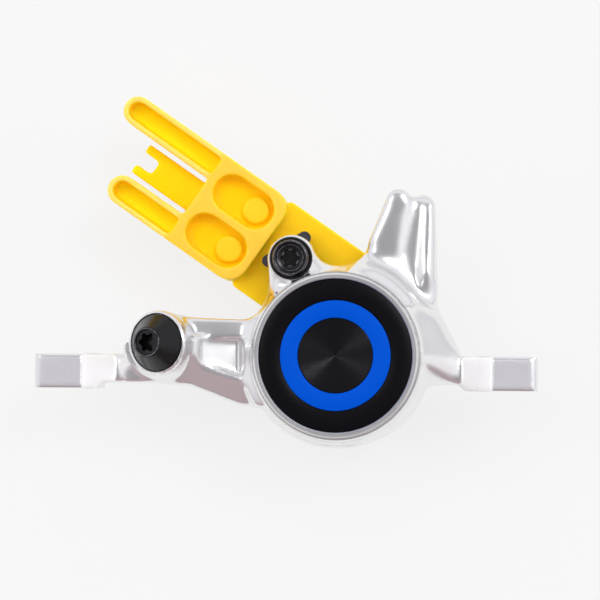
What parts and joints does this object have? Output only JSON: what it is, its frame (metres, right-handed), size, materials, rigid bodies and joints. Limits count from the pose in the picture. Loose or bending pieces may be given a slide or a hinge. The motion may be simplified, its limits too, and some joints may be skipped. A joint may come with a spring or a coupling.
{
  "type": "bicycle disc brake caliper",
  "caption": "Polished one-piece hydraulic disc brake caliper with opposed pistons, pads on an axle screw, slotted mounting ears, a plugged hose port and a yellow pad spacer.",
  "frame": {"origin": "where the piston axis crosses the rotor's middle plane", "axes": "+Z along the piston axis to the outboard side, +X along the line of the two mounting ears, +Y towards the wheel's hub, square to the ears' seats"},
  "size_m": [0.0869, 0.0622, 0.0384],
  "materials": {
    "polished_aluminium": "forged, mirror polished, with satin machined ear faces",
    "black_anodised": "black anodised, turned face",
    "blue_anodised": "blue anodised, satin",
    "black_steel": "black oxide, semi-gloss",
    "seal_rubber": "moulded seal rubber",
    "piston_resin": "dark moulded heat-resisting resin",
    "magnet_nickel": "nickel plated",
    "pad_steel": "black painted stamped steel",
    "pad_lining": "organic friction lining with metal flecks",
    "washer_copper": "plain copper",
    "yellow_plastic": "injection moulded, satin yellow"
  },
  "bodies": {
    "caliper": {"caliper_body": "polished_aluminium", "bore_cap": "black_anodised", "cap_seal": "seal_rubber", "cap_ring": "blue_anodised", "outboard_piston_seal": "seal_rubber", "inboard_piston_seal": "seal_rubber", "port_washer": "washer_copper"},
    "outboard_pad": {"outboard_piston": "piston_resin", "outboard_magnet": "magnet_nickel", "outboard_plate": "pad_steel", "outboard_lining": "pad_lining"},
    "inboard_pad": {"inboard_piston": "piston_resin", "inboard_magnet": "magnet_nickel", "inboard_plate": "pad_steel", "inboard_lining": "pad_lining"},
    "axle": {"pad_axle": "black_steel", "axle_seal": "seal_rubber"},
    "plug": {"port_plug": "black_steel"},
    "bleeder": {"bleed_screw": "black_steel", "bleed_seal": "seal_rubber"},
    "spacer": {"pad_spacer": "yellow_plastic"}
  },
  "joints": [
    {"name": "outboard_piston_slide", "type": "slide", "parent": "caliper", "child": "outboard_pad", "axis": [0, 0, -1], "range_m": [0, 0.0005]},
    {"name": "inboard_piston_slide", "type": "slide", "parent": "caliper", "child": "inboard_pad", "axis": [0, 0, 1], "range_m": [0, 0.0005]},
    {"name": "spacer_pull", "type": "slide", "parent": "caliper", "child": "spacer", "axis": [-0.8211, 0.5707, 0], "range_m": [0, 0.045]},
    {"name": "axle_draw", "type": "slide", "parent": "caliper", "child": "axle", "axis": [0, 0, 1], "range_m": [0, 0.0235]},
    {"name": "plug_draw", "type": "slide", "parent": "caliper", "child": "plug", "axis": [-0.4067, 0, 0.9135], "range_m": [0, 0.0095]},
    {"name": "bleed_turn", "type": "hinge", "parent": "caliper", "child": "bleeder", "pos_m": [0, -0.0157, -0.013], "axis": [0, -1, 0], "range_deg": [0, 180]}
  ],
  "couplings": [
    {"joint": "inboard_piston_slide", "follows": "outboard_piston_slide", "ratio": 1}
  ]
}
